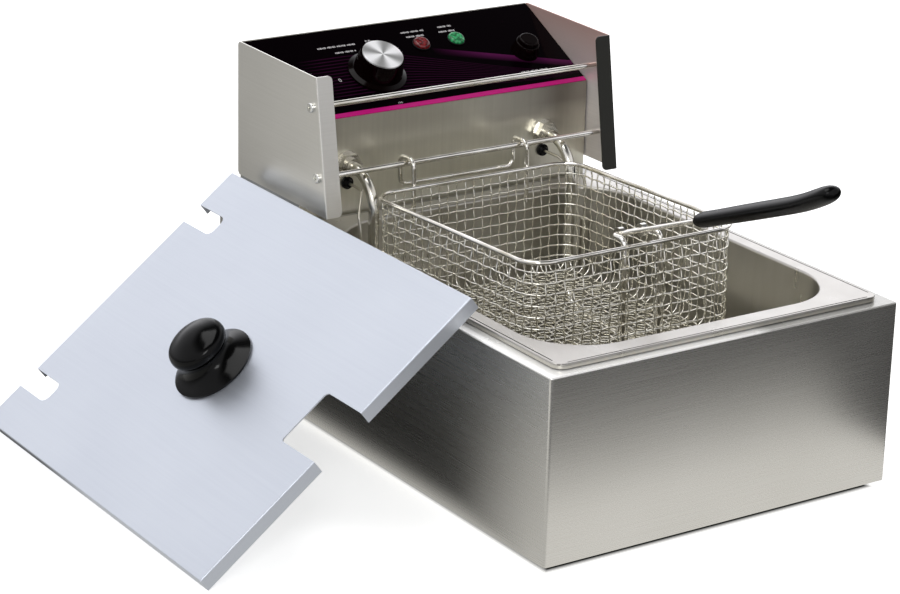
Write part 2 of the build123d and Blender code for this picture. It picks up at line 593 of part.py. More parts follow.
def lid_screw():
    screw = pan_head_screw(4.4, 2.6, 1.9, 11.0)
    washer = Cylinder(7.5, 1.0, align=(Align.CENTER, Align.CENTER, Align.MIN)) - Cylinder(1.9, 5)
    under = LID * Pos(LID_KNOB_X, LID_D / 2, LID_LIP - SHEET) * Rot(180, 0, 0)
    return under * (Pos(0, 0, 1.0) * screw + washer)


# ---- all pieces -------------------------------------------------------------------------------------
NODES = {
    "outer_casing": outer_casing(),
    "casing_base_plate": casing_base_plate(),
    "rubber_feet": group(rubber_foot(x, y) for x, y in FEET),
    "foot_screws": group(foot_screw(x, y) for x, y in FEET),
    "oil_pan": oil_pan(),
    "head_side_left": side_plate(-1),
    "head_side_right": side_plate(1),
    "side_screws": side_screws(),
    "head_cover": head_cover(),
    "control_panel": control_panel(),
    "panel_stripe": panel_stripe(),
    "head_tray": head_tray(),
    "head_back_cover": head_back_cover(),
    "back_screws": back_screws(),
    "cord_gland": cord_gland(),
    "upper_rod": hang_rod(*UPPER_ROD_YZ),
    "lower_rod": hang_rod(*LOWER_ROD_YZ),
    "heating_element": heating_element(),
    "gland_nuts": gland_nuts(),
    "element_terminals": element_terminals(),
    "capillary_grommets": capillary_grommets(),
    "capillaries": capillaries(),
    "sensor_bulbs": sensor_bulbs(),
    "thermostat": thermostat(),
    "heating_lamp": lamp(RED_X),
    "power_lamp": lamp(GREEN_X),
    "lamp_bezels": lamp_bezels(),
    "reset_collar": reset_collar(),
    "overheat_cutout": cutout(),
    "terminal_block": terminal_block(),
    "interlock_switch": interlock_switch(),
    "control_knob": control_knob(),
    "knob_cap": knob_cap(),
    "knob_shaft": knob_shaft(),
    "reset_button": reset_button(),
    "basket_rim": HANG * basket_rim(),
    "basket_tub": HANG * basket_tub(),
    "basket_hook": HANG * basket_hook(),
    "handle_bracket": HANG * handle_bracket(),
    "handle_wires": HANG * handle_wires(),
    "handle_grip": HANG * handle_grip(),
    "lid_sheet": lid_sheet(),
    "lid_knob": lid_knob(),
    "lid_screw": lid_screw(),
}

boxes = [shape.bounding_box() for shape in NODES.values()]
low = [min(tuple(b.min)[i] for b in boxes) for i in range(3)]
high = [max(tuple(b.max)[i] for b in boxes) for i in range(3)]
SHIFT = Pos(-(low[0] + high[0]) / 2, -(low[1] + high[1]) / 2, -low[2])

os.makedirs("parts", exist_ok=True)
for name, shape in NODES.items():
    export_step(SHIFT * shape, f"parts/{name}.step")
print("shift", [round(v, 4) for v in tuple(SHIFT.position)], "size", [round(h - l, 3) for l, h in zip(low, high)])
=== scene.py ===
import math

import bpy
from mathutils import Matrix, Vector


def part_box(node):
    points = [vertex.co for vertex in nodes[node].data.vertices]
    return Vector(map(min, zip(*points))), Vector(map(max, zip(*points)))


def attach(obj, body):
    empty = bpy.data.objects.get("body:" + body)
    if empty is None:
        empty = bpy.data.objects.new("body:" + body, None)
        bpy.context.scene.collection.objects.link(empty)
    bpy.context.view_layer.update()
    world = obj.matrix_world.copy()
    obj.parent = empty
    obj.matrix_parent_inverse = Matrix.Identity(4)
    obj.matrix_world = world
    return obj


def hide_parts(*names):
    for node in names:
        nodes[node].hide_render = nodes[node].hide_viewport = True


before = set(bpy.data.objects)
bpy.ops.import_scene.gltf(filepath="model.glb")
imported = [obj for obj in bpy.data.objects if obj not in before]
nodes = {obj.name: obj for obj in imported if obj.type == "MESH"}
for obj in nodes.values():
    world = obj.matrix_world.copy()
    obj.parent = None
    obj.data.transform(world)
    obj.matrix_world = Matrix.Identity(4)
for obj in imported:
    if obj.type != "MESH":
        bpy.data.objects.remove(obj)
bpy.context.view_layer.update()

MM = 0.001


# ---- small tools ------------------------------------------------------------------------------------
def select_only(piece):
    """Deselects everything else, so that an operator acts on this piece alone."""
    bpy.ops.object.select_all(action="DESELECT")
    piece.select_set(True)
    bpy.context.view_layer.objects.active = piece


def settle(piece):
    """Bakes the object's place into its mesh, as on the CAD nodes."""
    select_only(piece)
    bpy.ops.object.transform_apply(location=True, rotation=True, scale=True)


def hand_over(piece, name, body, material):
    """Names a finished piece, gives it its finish and lets it ride on its body."""
    piece.name = name
    piece.data.name = name
    piece.data.materials.clear()
    piece.data.materials.append(material)
    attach(piece, body)
    return piece


def linear(code):
    """An sRGB hex colour as the linear colour that a shader takes."""
    values = [int(code[i:i + 2], 16) / 255 for i in (1, 3, 5)]
    return [v / 12.92 if v <= 0.04045 else ((v + 0.055) / 1.055) ** 2.4 for v in values] + [1.0]


def add(mat, kind, inputs=None, **settings):
    """Adds a node: settings are its properties, inputs its values or the sockets that feed it."""
    tree = mat.node_tree
    made = tree.nodes.new("ShaderNode" + kind)
    for key, value in settings.items():
        setattr(made, key, value)
    for key, value in (inputs or {}).items():
        if isinstance(value, bpy.types.NodeSocket):
            tree.links.new(value, made.inputs[key])
        else:
            made.inputs[key].default_value = value
    return made


def new_finish(name, colour, roughness, metallic=0.0, **shader):
    """A material with one Principled shader whose constants are set on its own sockets."""
    mat = bpy.data.materials.new(name)
    mat.use_nodes = True
    mat.node_tree.nodes.clear()
    base = add(mat, "BsdfPrincipled", {
        "Base Color": linear(colour), "Roughness": roughness, "Metallic": metallic, **shader,
    })
    out = add(mat, "OutputMaterial")
    mat.node_tree.links.new(base.outputs[0], out.inputs["Surface"])
    return mat, base


def feed(mat, socket, source):
    mat.node_tree.links.new(source, socket)


def object_place(mat, size_mm, turn=(0.0, 0.0, 0.0), centre=(0.0, 0.0, 0.0)):
    """Object coordinates, centred, turned and counted in steps of size_mm along each axis."""
    place = add(mat, "TexCoord").outputs["Object"]
    moved = add(mat, "VectorMath", {0: place, 1: centre}, operation="SUBTRACT")
    spun = add(mat, "Mapping", {"Vector": moved.outputs[0], "Rotation": turn})
    steps = [1.0 / (s * MM) for s in size_mm]
    return add(mat, "Mapping", {"Vector": spun.outputs[0], "Scale": steps}).outputs[0]


def ramp(mat, source, low, high, start=0.0, end=1.0):
    """Takes a value from start..end to low..high."""
    return add(mat, "MapRange", {"Value": source, 1: start, 2: end, 3: low, 4: high}).outputs[0]


def blend(mat, factor, first, second):
    """Goes from the first colour to the second, each a hex code or a socket, as factor goes from 0 to 1."""
    first, second = (linear(c) if isinstance(c, str) else c for c in (first, second))
    return add(mat, "Mix", {"Factor": factor, 6: first, 7: second}, data_type="RGBA").outputs[2]


def calc(mat, operation, *values):
    """One step of arithmetic on numbers or sockets."""
    return add(mat, "Math", dict(enumerate(values)), operation=operation).outputs[0]


def axes_mm(mat, centre, turn=(0.0, 0.0, 0.0)):
    """Object coordinates in millimetres from a point, as separate x, y and z."""
    return add(mat, "SeparateXYZ", {0: object_place(mat, (1, 1, 1), turn, centre)}).outputs


def distance_axes_mm(mat, centre):
    """How far a spot is from a point along each axis, in millimetres and without sign."""
    place = object_place(mat, (1, 1, 1), (0, 0, 0), centre)
    spread = add(mat, "VectorMath", {0: place}, operation="ABSOLUTE").outputs[0]
    return add(mat, "SeparateXYZ", {0: spread}).outputs


def colour_so_far(base):
    """The socket that feeds the shader's colour at this stage."""
    return base.inputs["Base Color"].links[0].from_socket


# ---- the panel's own frame: x across, s up the slope, both in millimetres from the fold's middle -------
PANEL_RISE_MM, PANEL_RUN_MM = 41.6, 83.5
SLOPE = math.atan2(PANEL_RISE_MM, PANEL_RUN_MM)
cover_low, cover_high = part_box("head_cover")
fold = Vector(((cover_low.x + cover_high.x) / 2, cover_low.y, cover_high.z - PANEL_RISE_MM * MM))
up_slope = Vector((0, math.cos(SLOPE), math.sin(SLOPE)))
off_panel = Vector((0, -math.sin(SLOPE), math.cos(SLOPE)))
FILM_MM = 0.5


def on_panel(x, s, h=FILM_MM):
    """A point on the sloping panel, or h above its sheet."""
    return fold + (Vector((1, 0, 0)) * x + up_slope * s + off_panel * h) * MM


# ---- finishes ---------------------------------------------------------------------------------------
WING_RAKE = 16.0 / 98.5               # how far the wings' front edge leans back, per unit of height
GROOVE_INSET_MM = 2.4                 # the pan rim's pressed groove, in from the rim's edge


def brushed_sheet(name, light, dark, grain_mm, roughness, metallic=1.0, bump=0.001, cloud_mm=90.0):
    """Stainless sheet with a belt-ground grain: fine parallel scratches that stretch each highlight,
    and broad, faint clouds where the rolling left the sheet a little lighter or darker."""
    mat, base = new_finish(name, light, roughness, metallic)
    grain = add(mat, "TexNoise", {
        "Vector": object_place(mat, grain_mm), "Scale": 1.0, "Detail": 3.0, "Roughness": 0.6,
    }).outputs["Fac"]
    cloud = add(mat, "TexNoise", {
        "Vector": object_place(mat, (cloud_mm,) * 3), "Scale": 1.0, "Detail": 2.0,
    }).outputs["Fac"]
    shade = calc(mat, "ADD", ramp(mat, grain, 0, 0.5, 0.3, 0.7), ramp(mat, cloud, 0, 0.5, 0.3, 0.7))
    feed(mat, base.inputs["Base Color"], blend(mat, shade, dark, light))
    feed(mat, base.inputs["Roughness"], ramp(mat, grain, roughness - 0.01, roughness + 0.02, 0.3, 0.7))
    relief = add(mat, "Bump", {"Height": grain, "Strength": bump, "Distance": 0.0005})
    feed(mat, base.inputs["Normal"], relief.outputs[0])
    return mat, base


def casing_sheet():
    """The casing's brushed sheet, with a painted highlight along its top edge and ledge that turns to painted
    shade on the right.
    """
    mat, base = brushed_sheet("brushed_stainless_casing", "#d8d6d1", "#d0cec8", (90, 90, 0.8), 0.27)
    x, _, z = axes_mm(mat, Vector((0, 0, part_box("outer_casing")[1].z)))
    # painted highlight: the top millimetre is painted near-white and less metallic, and a darker grey at the
    # right end
    painted_top_highlight = ramp(mat, z, 0.0, 1.0, -1.1, -0.4)
    ledge = blend(mat, ramp(mat, x, 0.0, 1.0, 122.0, 134.0), "#fbfaf6", "#b9b8b3")
    feed(mat, base.inputs["Base Color"], blend(mat, painted_top_highlight, colour_so_far(base), ledge))
    feed(mat, base.inputs["Metallic"], ramp(mat, painted_top_highlight, 1.0, 0.3))
    return mat


def cover_sheet():
    """The head cover's satin sheet, with painted shade under the fold, deepest at the upper right."""
    mat, base = brushed_sheet("satin_stainless_cover", "#eae7d8", "#d8d5c6", (3.0, 90, 90), 0.30, 0.92)
    x, _, z = axes_mm(mat, fold)
    # painted shade: darker under the fold, most of all towards the right
    cover_painted_shade = calc(mat, "MULTIPLY", ramp(mat, x, 0.3, 0.75, 25.0, 90.0), ramp(mat, z, 0.0, 1.0, -38.0, -12.0))
    feed(mat, base.inputs["Base Color"], blend(mat, cover_painted_shade, colour_so_far(base), "#7a736c"))
    return mat


def wing_sheet():
    """The right wing's inner face: duller brushed sheet with a warm tint towards its top, and painted
    shade that turns its front flange near-black."""
    mat, base = brushed_sheet("brushed_stainless_inner_wing", "#f0eae6", "#e4deda", (70, 70, 1.0), 0.40, 0.5)
    low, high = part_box("head_side_right")
    _, y, z = axes_mm(mat, low)
    height = (high.z - low.z) / MM
    steel = blend(mat, ramp(mat, z, 0.0, 0.75, height - 45, height), colour_so_far(base), "#c08d80")
    behind_edge = calc(mat, "MULTIPLY_ADD", z, -WING_RAKE, y)
    # painted shade: the front edge strip is painted near-black and less metallic
    flange = ramp(mat, behind_edge, 1.0, 0.0, 0.7, 1.1)
    feed(mat, base.inputs["Base Color"], blend(mat, flange, steel, "#1f1f19"))
    feed(mat, base.inputs["Metallic"], ramp(mat, flange, 0.5, 0.2))
    return mat


def drawn_pan_steel():
    """Deep-drawn stainless: a satin skin with faint draw marks down the walls, painted shade towards the
    floor, a rim top painted a shade darker than the walls, and a painted shade line in the groove that is
    pressed round the rim."""
    mat, base = new_finish("drawn_stainless", "#d6d3ca", 0.30, 1.0)
    marks = add(mat, "TexNoise", {
        "Vector": object_place(mat, (14, 14, 90)), "Scale": 1.0, "Detail": 2.0,
    }).outputs["Fac"]
    well = blend(mat, ramp(mat, marks, 0, 1, 0.3, 0.7), "#bdbab0", "#c6c3bb")
    low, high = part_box("oil_pan")
    x, y, down = distance_axes_mm(mat, Vector(((low.x + high.x) / 2, (low.y + high.y) / 2, high.z)))
    across = calc(mat, "SUBTRACT", x, (high.x - low.x) / 2 / MM - GROOVE_INSET_MM)
    along = calc(mat, "SUBTRACT", y, (high.y - low.y) / 2 / MM - GROOVE_INSET_MM)
    off_groove = calc(mat, "ABSOLUTE", calc(mat, "MAXIMUM", across, along))
    sunk = calc(mat, "MULTIPLY", ramp(mat, down, 0.0, 1.0, 0.15, 0.4), ramp(mat, down, 1.0, 0.0, 0.8, 1.0))
    # painted shade along the groove pressed round the rim
    line = calc(mat, "MULTIPLY", ramp(mat, off_groove, 1.0, 0.0, 0.6, 0.85), sunk)
    # painted shade: the rim's top is a shade darker than the walls below it
    steel = blend(mat, ramp(mat, down, 0.0, 1.0, 0.2, 1.6), "#b2afaa", well)
    # painted shade: the well darkens towards the floor
    steel = blend(mat, ramp(mat, down, 0.0, 0.4, 60.0, 97.0), steel, "#6f6a5c")
    feed(mat, base.inputs["Base Color"], blend(mat, line, steel, "#2e2c28"))
    feed(mat, base.inputs["Roughness"], ramp(mat, marks, 0.27, 0.33, 0.3, 0.7))
    return mat


def bright_wire(name, colour, roughness, wear="#c4bfb0"):
    """Electropolished stainless wire: nearly mirror-bright, with slightly duller, warmer stretches."""
    mat, base = new_finish(name, colour, roughness, 1.0)
    patches = add(mat, "TexNoise", {"Vector": object_place(mat, (25, 25, 25)), "Scale": 1.0, "Detail": 1.0})
    value = ramp(mat, patches.outputs["Fac"], 0, 1, 0.35, 0.75)
    feed(mat, base.inputs["Base Color"], blend(mat, value, colour, wear))
    feed(mat, base.inputs["Roughness"], ramp(mat, value, roughness, roughness + 0.06))
    return mat


def moulded(name, colour, roughness, gloss=0.5, grain_mm=0.6, bump=0.05):
    """Moulded plastic or rubber: a fine mould texture breaks the highlight a little."""
    mat, base = new_finish(name, colour, roughness, 0.0, **{"Specular IOR Level": gloss})
    skin = add(mat, "TexNoise", {"Vector": object_place(mat, (grain_mm,) * 3), "Scale": 1.0, "Detail": 2.0})
    feed(mat, base.inputs["Roughness"], ramp(mat, skin.outputs["Fac"], roughness - 0.03, roughness + 0.05))
    relief = add(mat, "Bump", {"Height": skin.outputs["Fac"], "Strength": bump, "Distance": 0.0003})
    feed(mat, base.inputs["Normal"], relief.outputs[0])
    return mat


def lens(name, colour, glow):
    """A transparent coloured moulding with its lamp off: deep colour, glossy, with a faint painted glow, cut
    into small facets, with pale specks painted in for the light that they catch."""
    # a faint painted glow, though the lamp is off
    mat, base = new_finish(name, colour, 0.15, 0.0, **{
        "Emission Color": linear(glow), "Emission Strength": 0.06,
    })
    facets = add(mat, "TexVoronoi", {"Vector": object_place(mat, (2.2, 2.2, 2.2)), "Scale": 1.0})
    # painted glints: pale specks at the middle of each facet
    shade = ramp(mat, facets.outputs["Distance"], 0.3, 1, 0.1, 0.7)
    feed(mat, base.inputs["Base Color"], blend(mat, shade, glow, colour))
    relief = add(mat, "Bump", {"Height": facets.outputs["Distance"], "Strength": 0.2, "Distance": 0.001})
    feed(mat, base.inputs["Normal"], relief.outputs[0])
    return mat


def panel_film():
    """Reverse-printed polyester film: near-black gloss with a fan of fine dim purple lines, which draw
    together at the right edge, and one brighter band."""
    mat, base = new_finish("printed_film", "#040103", 0.12, 0.0, **{"Specular IOR Level": 0.02})
    x, s, _ = axes_mm(mat, fold, (-SLOPE, 0, 0))
    half = ramp(mat, x, 22.0, 2.0, -25.0, 120.0)
    middle = add(mat, "MapRange", {"Value": x, 1: -60.0, 2: 125.0, 3: 41.0, 4: 11.0},
                 interpolation_type="SMOOTHSTEP").outputs[0]
    share = calc(mat, "DIVIDE", calc(mat, "SUBTRACT", s, middle), half)
    line = calc(mat, "SINE", calc(mat, "MULTIPLY", share, 41.0))
    inside = calc(mat, "LESS_THAN", calc(mat, "ABSOLUTE", share), 1.0)
    fan = calc(mat, "MULTIPLY", ramp(mat, line, 0.0, 0.26, 0.25, 1.0), inside)
    fan = calc(mat, "MULTIPLY", fan, ramp(mat, x, 0.0, 1.0, -96.0, -76.0))
    under_ridge = calc(mat, "SUBTRACT", ramp(mat, x, 58.0, 24.0, 18.0, 122.0), s)
    band = calc(mat, "MULTIPLY", ramp(mat, under_ridge, 0.0, 1.0, -0.4, 0.2),
                ramp(mat, under_ridge, 1.0, 0.0, 0.4, 8.0))
    band = calc(mat, "MULTIPLY", band, ramp(mat, x, 0.0, 1.0, 18.0, 60.0))
    ink = calc(mat, "MAXIMUM", fan, band)
    feed(mat, base.inputs["Base Color"], blend(mat, ink, "#040103", "#4a143e"))
    return mat


def spun_metal(name, colour, dark):
    """A lathe-turned disc: painted bright and dark sectors stand for the highlight that its round grooves
    throw.
    """
    mat, base = new_finish(name, colour, 0.35, 0.35)
    cap_low, cap_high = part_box("knob_cap")
    spot = object_place(mat, (1, 1, 1), (-SLOPE, 0, 0), (cap_low + cap_high) / 2)
    parts = add(mat, "SeparateXYZ", {0: spot}).outputs
    turn = calc(mat, "ARCTAN2", parts[1], parts[0])
    # painted highlight: four bright and four dark wedges round the cap
    sectors = calc(mat, "SINE", calc(mat, "MULTIPLY_ADD", turn, 4.0, 0.9))
    from_middle = add(mat, "VectorMath", {0: spot}, operation="LENGTH").outputs["Value"]
    groove = calc(mat, "SINE", calc(mat, "MULTIPLY", from_middle, 9.0))
    shade = calc(mat, "MULTIPLY_ADD", groove, 0.12, ramp(mat, sectors, 0.0, 1.0, -1.0, 0.9))
    feed(mat, base.inputs["Base Color"], blend(mat, shade, dark, colour))
    return mat


def stripe_film():
    """The same film's magenta edge."""
    mat, base = new_finish("magenta_film", "#b40f70", 0.35, 0.0, **{"Specular IOR Level": 0.15})
    tone = add(mat, "TexNoise", {"Vector": object_place(mat, (30, 30, 30)), "Scale": 1.0})
    feed(mat, base.inputs["Base Color"], blend(mat, tone.outputs["Fac"], "#ad0b69", "#ba1174"))
    return mat


FINISHES = {
    "casing": casing_sheet(),
    "wing": brushed_sheet("brushed_stainless_wing", "#e0ded8", "#d6d4cd", (70, 70, 1.0), 0.33)[0],
    "inner_wing": wing_sheet(),
    "cover": cover_sheet(),
    "lid": brushed_sheet("pale_satin_stainless", "#d3d8e0", "#ccd1da", (1.6, 90, 1.6), 0.38, 0.9, 0.003)[0],
    "plate": brushed_sheet("galvanised_plate", "#b4b6b8", "#9da0a2", (14, 14, 14), 0.45)[0],
    "pan": drawn_pan_steel(),
    "wire": bright_wire("electropolished_wire", "#f6f4ef", 0.09),
    "mesh": bright_wire("woven_mesh_wire", "#fffdf4", 0.12, "#ebe7da"),
    "sheath": bright_wire("annealed_element_sheath", "#e6e4dc", 0.16, "#c9c5b8"),
    "nickel": bright_wire("nickel_plated_brass", "#e6e4de", 0.16, "#bcb8ac"),
    "zinc": bright_wire("zinc_plated_steel", "#e0e0dc", 0.22),
    "capillary": bright_wire("tinned_capillary_pipe", "#c9c5ba", 0.30),
    "black": moulded("polished_black_phenolic", "#020202", 0.14, 0.14, 0.8, 0.01),
    "knob": moulded("polished_brown_black_phenolic", "#060101", 0.10, 0.08, 0.8, 0.01),
    "nylon": moulded("black_nylon", "#070708", 0.42, 0.2),
    "grip": moulded("heatproof_grip_plastic", "#020202", 0.24, 0.16, 0.9, 0.04),
    "rubber": moulded("black_foot_rubber", "#0c0c0c", 0.65, 0.2),
    "phenolic": moulded("dark_phenolic", "#2a2420", 0.5),
    "film": panel_film(),
    "stripe": stripe_film(),
    "ink": moulded("pale_grey_ink", "#b9b6b6", 0.5, 0.3),
    "red": lens("red_lens", "#3c0507", "#8e1a1e"),
    "green": lens("green_lens", "#064a26", "#3fbf76"),
    "spun": spun_metal("spun_aluminium", "#ffffff", "#8c8c8a"),
}

NODE_FINISH = {
    "outer_casing": "casing", "casing_base_plate": "plate", "rubber_feet": "rubber", "foot_screws": "zinc",
    "oil_pan": "pan", "head_side_left": "wing", "head_side_right": "inner_wing", "side_screws": "zinc",
    "head_cover": "cover", "control_panel": "film", "panel_stripe": "stripe", "head_tray": "plate",
    "head_back_cover": "cover", "back_screws": "zinc", "cord_gland": "nylon", "upper_rod": "wire",
    "lower_rod": "wire", "heating_element": "sheath", "gland_nuts": "nickel", "element_terminals": "zinc",
    "capillary_grommets": "nylon", "capillaries": "capillary", "sensor_bulbs": "capillary",
    "thermostat": "phenolic", "heating_lamp": "red", "power_lamp": "green", "lamp_bezels": "nylon",
    "reset_collar": "knob", "overheat_cutout": "phenolic", "terminal_block": "phenolic",
    "interlock_switch": "phenolic", "control_knob": "knob", "knob_cap": "spun", "knob_shaft": "zinc",
    "reset_button": "knob", "basket_rim": "wire", "basket_tub": "mesh", "basket_hook": "wire",
    "handle_bracket": "wire", "handle_wires": "wire", "handle_grip": "grip", "lid_sheet": "lid",
    "lid_knob": "black", "lid_screw": "zinc",
}

for name, piece in nodes.items():
    piece.data.materials.clear()
    piece.data.materials.append(FINISHES[NODE_FINISH[name]])


# ---- panel print: short bars stand for the lines of lettering, with two plain numbers ------------------
def print_bars(x0, x1, s, tall):
    """One line of lettering as a row of thin bars, grouped like words."""
    bars, x, count = [], x0, 0
    while x < x1:
        wide = (0.9, 0.6, 1.1, 0.7, 0.5)[count % 5]
        bpy.ops.object.select_all(action="DESELECT")
        bpy.ops.mesh.primitive_cube_add(size=1.0, location=on_panel(x + wide / 2, s, FILM_MM + 0.03),
                                        rotation=(SLOPE, 0, 0))
        bar = bpy.context.object
        bar.scale = (wide * MM, tall * (1.0 if count % 3 else 0.7) * MM, 0.05 * MM)
        bars.append(bar)
        x += wide + (1.5 if count % 6 == 5 else 0.45)
        count += 1
    return bars


def print_number(digits, x, s, tall):
    """A plain number in flat ink, standing upright on the panel."""
    bpy.ops.object.select_all(action="DESELECT")
    bpy.ops.object.text_add(location=on_panel(x, s, FILM_MM + 0.02), rotation=(SLOPE, 0, 0))
    text = bpy.context.object
    text.data.body = digits
    text.data.size = tall * 1.4 * MM
    text.data.extrude = 0.02 * MM
    bpy.ops.object.convert(target="MESH")
    return bpy.context.object


def panel_print():
    pieces = [print_number("50", -30.5, 72.0, 3.8), print_number("0", -72.5, 36.5, 3.6),
              print_number("190", -39.5, 5.6, 1.9)]
    for x0, x1, s in ((-71.5, -40.0, 73.5), (-60.0, -42.0, 66.6), (3.0, 23.0, 78.2), (5.0, 20.0, 72.9),
                      (36.0, 48.0, 79.0), (34.0, 48.0, 73.6), (76.0, 100.6, 18.3)):
        pieces += print_bars(x0, x1, s, 1.7)
    bpy.ops.object.select_all(action="DESELECT")
    for piece in pieces:
        piece.select_set(True)
    bpy.context.view_layer.objects.active = pieces[0]
    bpy.ops.object.join()
    sheet = bpy.context.object
    settle(sheet)
    hand_over(sheet, "panel_print", "head", FINISHES["ink"])


panel_print()


# ---- woven basket: drawn level, then tipped about the lower rod as it hangs ------------------------------
rod_low, rod_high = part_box("lower_rod")
tub_low, tub_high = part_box("basket_tub")
hang_from = Vector(((tub_low.x + tub_high.x) / 2, (rod_low.y + rod_high.y) / 2, (rod_low.z + rod_high.z) / 2))
BASKET_TIP = 1.9                      # degrees, front down
TIP = Matrix.Translation(hang_from) @ Matrix.Rotation(math.radians(-BASKET_TIP), 4, "X")
WALL = 1.6 * MM
CORNER = 18 * MM - WALL / 2           # corner radius at the middle of the wire mesh
FOOT_BEND = 9 * MM - WALL / 2
PITCH_AIM = 7.5 * MM
POINT_STEP = PITCH_AIM / 4            # distance between the points of a swaying wire
CORNER_STEPS = 12
WIRE_R = 0.55 * MM
WAVE = 0.6 * MM                       # how far a wire sways to pass over its neighbour
half_x, half_y = 86.5 * MM - WALL / 2, 98.7 * MM - WALL / 2
mid_y = -110.2 * MM                   # the tub's middle, top and floor, all measured from the lower rod
mesh_top, mesh_bottom = -17.3 * MM, -97.0 * MM + WALL / 2


def rows(half):
    """Evenly spaced wire places across a width, symmetrical about its middle, and their pitch."""
    count = round(2 * half / PITCH_AIM)
    step = 2 * half / count
    return [(-half + step * (i + 0.5)) for i in range(count)], step


def reach_at(place, half_across, half_along):
    """How far a floor wire runs from the middle before it meets the wall, rounded corners included."""
    into_corner = abs(place) - (half_along - CORNER)
    if into_corner <= 0:
        return half_across
    return half_across - CORNER + math.sqrt(max(CORNER ** 2 - into_corner ** 2, 0.0))


def hoop_wire(place, index, half_across, half_along, step_floor, heights, step_wall):
    """One wire: down a wall, across the floor and up the other wall, swaying over and under."""
    reach = reach_at(place, half_across, half_along)
    flat = reach - FOOT_BEND
    wall = mesh_top - mesh_bottom - FOOT_BEND
    count_wall, count_flat, bend_steps = round(wall / POINT_STEP), round(flat / POINT_STEP), 5
    side = [(flat * k / count_flat, mesh_bottom, "floor") for k in range(count_flat + 1)]
    for k in range(1, bend_steps):
        turn = math.pi / 2 * k / bend_steps
        side.append((flat + FOOT_BEND * math.sin(turn), mesh_bottom + FOOT_BEND * (1 - math.cos(turn)), ""))
    for k in range(count_wall + 1):
        side.append((reach, mesh_bottom + FOOT_BEND + wall * k / count_wall, "wall"))
    points = []
    for sign in (-1, 1):
        branch = []
        for a, z, zone in side:
            if zone == "floor":
                sway = WAVE * math.cos(math.pi * (sign * a + half_across) / step_floor - math.pi / 2
                                       + math.pi * index)
                branch.append((sign * a, z + sway))
            elif zone == "wall":
                sway = WAVE * math.cos(math.pi * ((z - heights[0]) / step_wall + index))
                branch.append((sign * (a + sway), z))
            else:
                branch.append((sign * a, z))
        points += branch[::-1] if sign < 0 else branch[1:]
    return points


def ring_wire(level, z, places_x, places_y, step_x, step_y):
    """One level wire round the basket, swaying the opposite way to the upright wires it meets."""
    points = []
    straight_x, straight_y = half_x - CORNER, half_y - CORNER

    def run(length, sway):
        count = max(2, round(2 * length / POINT_STEP))
        for k in range(count + 1):
            t = -length + 2 * length * k / count
            yield t, sway(t)

    def sway_x(t):
        return -WAVE * math.cos(math.pi * ((t - places_x[0]) / step_x + level))

    def sway_y(t):
        return -WAVE * math.cos(math.pi * ((t - places_y[0]) / step_y + level))

    def corner(cx, cy, start):
        for k in range(1, CORNER_STEPS):
            turn = start + math.pi / 2 * k / CORNER_STEPS
            points.append((cx + CORNER * math.cos(turn), cy + CORNER * math.sin(turn)))

    for t, sway in run(straight_y, sway_y):
        points.append((half_x + sway, t))
    corner(straight_x, straight_y, 0.0)
    for t, sway in run(straight_x, sway_x):
        points.append((-t, half_y + sway))
    corner(-straight_x, straight_y, math.pi / 2)
    for t, sway in run(straight_y, sway_y):
        points.append((-half_x - sway, -t))
    corner(-straight_x, -straight_y, math.pi)
    for t, sway in run(straight_x, sway_x):
        points.append((t, -half_y - sway))
    corner(straight_x, -straight_y, 1.5 * math.pi)
    return [(x, mid_y + y, z) for x, y in points]


def wire_piece(name, paths, closed):
    """Many thin round wires as one mesh, each with a few sides only."""
    curve = bpy.data.curves.new(name, "CURVE")
    curve.dimensions = "3D"
    curve.bevel_depth = WIRE_R
    curve.bevel_resolution = 1
    curve.use_fill_caps = True
    for path in paths:
        spline = curve.splines.new("POLY")
        spline.points.add(len(path) - 1)
        for point, place in zip(spline.points, path):
            point.co = (*(TIP @ Vector(place)), 1.0)
        spline.use_cyclic_u = closed
    piece = bpy.data.objects.new(name, curve)
    bpy.context.scene.collection.objects.link(piece)
    select_only(piece)
    bpy.ops.object.convert(target="MESH")
    bpy.ops.object.shade_smooth()
    return bpy.context.view_layer.objects.active


def woven_basket():
    places_y, step_y = rows(half_y)
    places_x, step_x = rows(half_x)
    levels = round((mesh_top - mesh_bottom - FOOT_BEND) / PITCH_AIM)
    step_z = (mesh_top - mesh_bottom - FOOT_BEND) / levels
    heights = [mesh_bottom + FOOT_BEND + step_z * (k + 0.35) for k in range(levels)]
    across = [[(a, mid_y + y, z) for a, z in
               hoop_wire(y, i, half_x, half_y, step_x, heights, step_z)] for i, y in enumerate(places_y)]
    along = [[(x, mid_y + a, z) for a, z in
              hoop_wire(x, i + 1, half_y, half_x, step_y, heights, step_z)] for i, x in enumerate(places_x)]
    rings = [ring_wire(k, z, places_x, places_y, step_x, step_y) for k, z in enumerate(heights)]
    pieces = [
        wire_piece("mesh_wires_across", across, False),
        wire_piece("mesh_wires_along", along, False),
        wire_piece("mesh_wires_level", rings, True),
    ]
    for piece in pieces:
        hand_over(piece, piece.name, "basket", FINISHES["mesh"])
        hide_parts("basket_tub")


woven_basket()


# ---- stage ------------------------------------------------------------------------------------------
case_low, case_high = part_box("outer_casing")
PAPER_GLOW, TABLE_GLOW, FLAG_GLOW = 0.62, 0.86, 0.07


